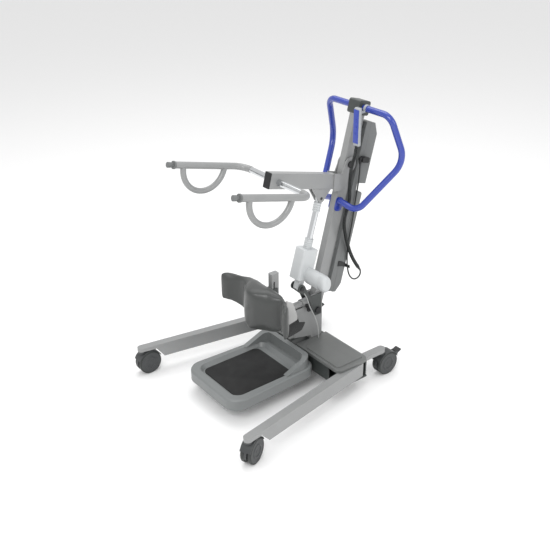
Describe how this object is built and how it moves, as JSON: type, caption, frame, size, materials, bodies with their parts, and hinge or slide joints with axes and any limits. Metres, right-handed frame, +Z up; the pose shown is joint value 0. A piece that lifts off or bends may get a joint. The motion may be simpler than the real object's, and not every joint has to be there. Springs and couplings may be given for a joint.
{
  "type": "sit to stand lift",
  "caption": "Wheeled standing-up aid: opening legs on castors, leaning mast, powered lifting boom with sling arms, knee pad, foot tray, push handle and wired handset",
  "frame": {"origin": "on the floor, in the middle of the footprint", "axes": "+Z up, -Y toward the person being lifted, +Y toward the carer, +X to the carer's right"},
  "size_m": [0.7924, 0.9279, 1.0924],
  "materials": {
    "frame_grey": "silver grey gloss powder coat",
    "cover_grey": "smooth moulded mid grey",
    "tray_grey": "smooth glossy light grey",
    "black_rubber": "black ribbed mat",
    "black_plastic": "matt black",
    "castor_grey": "dark grey moulded",
    "dark_paint": "dark grey paint",
    "handle_blue": "blue gloss powder coat",
    "bar_chrome": "bright chrome",
    "bolt_steel": "zinc plated",
    "actuator_white": "off-white moulded",
    "box_grey": "satin mid grey",
    "pad_grey": "smooth dark grey upholstery vinyl over foam",
    "strap_grey": "light grey padded strap",
    "webbing_black": "black woven webbing",
    "handset_grey": "light grey handset shell",
    "button_blue": "blue push button",
    "cord_dark": "dark grey cord sheath",
    "cable_white": "pale cable sheath"
  },
  "bodies": {
    "frame": {"base_beam": "dark_paint", "leg_pivot_pins": "bolt_steel", "base_cover_left": "cover_grey", "base_cover_right": "cover_grey", "rear_arm_left": "frame_grey", "rear_arm_right": "frame_grey", "lower_post": "frame_grey", "knee_bracket": "frame_grey", "actuator_bracket": "dark_paint", "frame_bolts": "black_plastic", "mast_tube": "frame_grey", "push_handle": "handle_blue", "handle_saddle": "dark_paint", "control_box": "box_grey", "back_cover": "box_grey", "cable_hook": "black_plastic", "handset_plug": "black_plastic", "handset_cord": "cord_dark", "handset_tail": "cord_dark", "base_cable": "cable_white"},
    "leg_right": {"leg_right": "frame_grey"},
    "leg_left": {"leg_left": "frame_grey"},
    "tray": {"foot_tray": "tray_grey", "tray_mat": "black_rubber"},
    "knee_slide": {"knee_arm": "frame_grey"},
    "knee_rest": {"knee_carriage": "dark_paint", "knee_pad": "pad_grey", "strap_pad": "strap_grey", "calf_strap": "webbing_black"},
    "knee_knob": {"depth_knob": "black_plastic"},
    "boom": {"boom_tube": "frame_grey", "boom_plates": "frame_grey", "boom_pins": "black_plastic", "boom_lug": "frame_grey", "boom_cap": "black_plastic", "spreader_bar": "bar_chrome", "sling_arm_left": "frame_grey", "sling_arm_right": "frame_grey", "sling_studs": "black_plastic"},
    "rod": {"actuator_rod": "bar_chrome", "rod_collar": "actuator_white"},
    "actuator": {"actuator_housing": "actuator_white", "actuator_boot": "actuator_white", "actuator_motor": "actuator_white"},
    "battery": {"battery_pack": "box_grey", "battery_clip": "black_plastic"},
    "handset": {"handset_body": "handset_grey"},
    "button_1": {"handset_button_1": "button_blue"},
    "button_2": {"handset_button_2": "button_blue"},
    "button_3": {"handset_button_3": "button_blue"},
    "castor_front_right": {"castor_hood_front_right": "castor_grey"},
    "wheels_front_right": {"castor_wheels_front_right": "castor_grey"},
    "castor_front_left": {"castor_hood_front_left": "castor_grey"},
    "wheels_front_left": {"castor_wheels_front_left": "castor_grey"},
    "castor_rear_right": {"castor_hood_rear_right": "castor_grey"},
    "wheels_rear_right": {"castor_wheels_rear_right": "castor_grey"},
    "brake_rear_right": {"brake_pedal_rear_right": "black_plastic"},
    "castor_rear_left": {"castor_hood_rear_left": "castor_grey"},
    "wheels_rear_left": {"castor_wheels_rear_left": "castor_grey"},
    "brake_rear_left": {"brake_pedal_rear_left": "black_plastic"}
  },
  "joints": [
    {"name": "leg_right_spread", "type": "hinge", "parent": "frame", "child": "leg_right", "pos_m": [0.266, 0.1774, 0.095], "axis": [0, 0, 1], "range_deg": [-9.5, 0]},
    {"name": "leg_left_spread", "type": "hinge", "parent": "frame", "child": "leg_left", "pos_m": [-0.266, 0.1774, 0.095], "axis": [0, 0, 1], "range_deg": [0, 9.5]},
    {"name": "front_right_swivel", "type": "hinge", "parent": "leg_right", "child": "castor_front_right", "pos_m": [0.36963, -0.43337, 0.1], "axis": [0, 0, 1], "continuous": true},
    {"name": "front_right_roll", "type": "hinge", "parent": "castor_front_right", "child": "wheels_front_right", "pos_m": [0.35865, -0.4087, 0.05], "axis": [0.9135, 0.4067, 0], "continuous": true},
    {"name": "front_left_swivel", "type": "hinge", "parent": "leg_left", "child": "castor_front_left", "pos_m": [-0.36963, -0.43337, 0.1], "axis": [0, 0, 1], "continuous": true},
    {"name": "front_left_roll", "type": "hinge", "parent": "castor_front_left", "child": "wheels_front_left", "pos_m": [-0.36963, -0.40637, 0.05], "axis": [1, 0, 0], "continuous": true},
    {"name": "rear_right_swivel", "type": "hinge", "parent": "frame", "child": "castor_rear_right", "pos_m": [0.241, 0.3294, 0.1], "axis": [0, 0, 1], "continuous": true},
    {"name": "rear_right_roll", "type": "hinge", "parent": "castor_rear_right", "child": "wheels_rear_right", "pos_m": [0.241, 0.3564, 0.05], "axis": [1, 0, 0], "continuous": true},
    {"name": "rear_right_brake", "type": "hinge", "parent": "castor_rear_right", "child": "brake_rear_right", "pos_m": [0.241, 0.4114, 0.077], "axis": [1, 0, 0], "range_deg": [-12, 0]},
    {"name": "rear_left_swivel", "type": "hinge", "parent": "frame", "child": "castor_rear_left", "pos_m": [-0.241, 0.3294, 0.1], "axis": [0, 0, 1], "continuous": true},
    {"name": "rear_left_roll", "type": "hinge", "parent": "castor_rear_left", "child": "wheels_rear_left", "pos_m": [-0.241, 0.3564, 0.05], "axis": [1, 0, 0], "continuous": true},
    {"name": "rear_left_brake", "type": "hinge", "parent": "castor_rear_left", "child": "brake_rear_left", "pos_m": [-0.241, 0.4114, 0.077], "axis": [1, 0, 0], "range_deg": [-12, 0]},
    {"name": "tray_lift", "type": "slide", "parent": "frame", "child": "tray", "axis": [0, 0, 1], "range_m": [0, 0.04]},
    {"name": "knee_depth", "type": "slide", "parent": "frame", "child": "knee_slide", "axis": [0, -1, 0], "range_m": [0, 0.045]},
    {"name": "knee_height", "type": "slide", "parent": "knee_slide", "child": "knee_rest", "axis": [0, 0, 1], "range_m": [-0.02, 0.06]},
    {"name": "knee_knob_turn", "type": "hinge", "parent": "frame", "child": "knee_knob", "pos_m": [0.03, 0.1184, 0.302], "axis": [1, 0, 0], "continuous": true},
    {"name": "boom_lift", "type": "hinge", "parent": "frame", "child": "boom", "pos_m": [0, 0.3314, 0.848], "axis": [-1, 0, 0], "range_deg": [-12, 40]},
    {"name": "rod_pivot", "type": "hinge", "parent": "boom", "child": "rod", "pos_m": [0, 0.19245, 0.74001], "axis": [-1, 0, 0], "range_deg": [-50, 15]},
    {"name": "actuator_stroke", "type": "slide", "parent": "rod", "child": "actuator", "axis": [0, -0.2738, -0.9618], "range_m": [-0.03, 0.1]},
    {"name": "battery_lift", "type": "slide", "parent": "frame", "child": "battery", "axis": [0, 0.2538, 0.9673], "range_m": [0, 0.06]},
    {"name": "handset_lift", "type": "slide", "parent": "frame", "child": "handset", "axis": [0, 0, 1], "range_m": [0, 0.08]},
    {"name": "button_1_press", "type": "slide", "parent": "handset", "child": "button_1", "axis": [0, 1, 0], "range_m": [0, 0.001], "stiffness_N_per_m": 400},
    {"name": "button_2_press", "type": "slide", "parent": "handset", "child": "button_2", "axis": [0, 1, 0], "range_m": [0, 0.001], "stiffness_N_per_m": 400},
    {"name": "button_3_press", "type": "slide", "parent": "handset", "child": "button_3", "axis": [0, 1, 0], "range_m": [0, 0.001], "stiffness_N_per_m": 400}
  ],
  "couplings": [
    {"joint": "leg_left_spread", "follows": "leg_right_spread", "ratio": -1},
    {"joint": "rod_pivot", "follows": "boom_lift", "ratio": -1.235},
    {"joint": "actuator_stroke", "follows": "boom_lift", "m_per_rad": 0.1346}
  ]
}
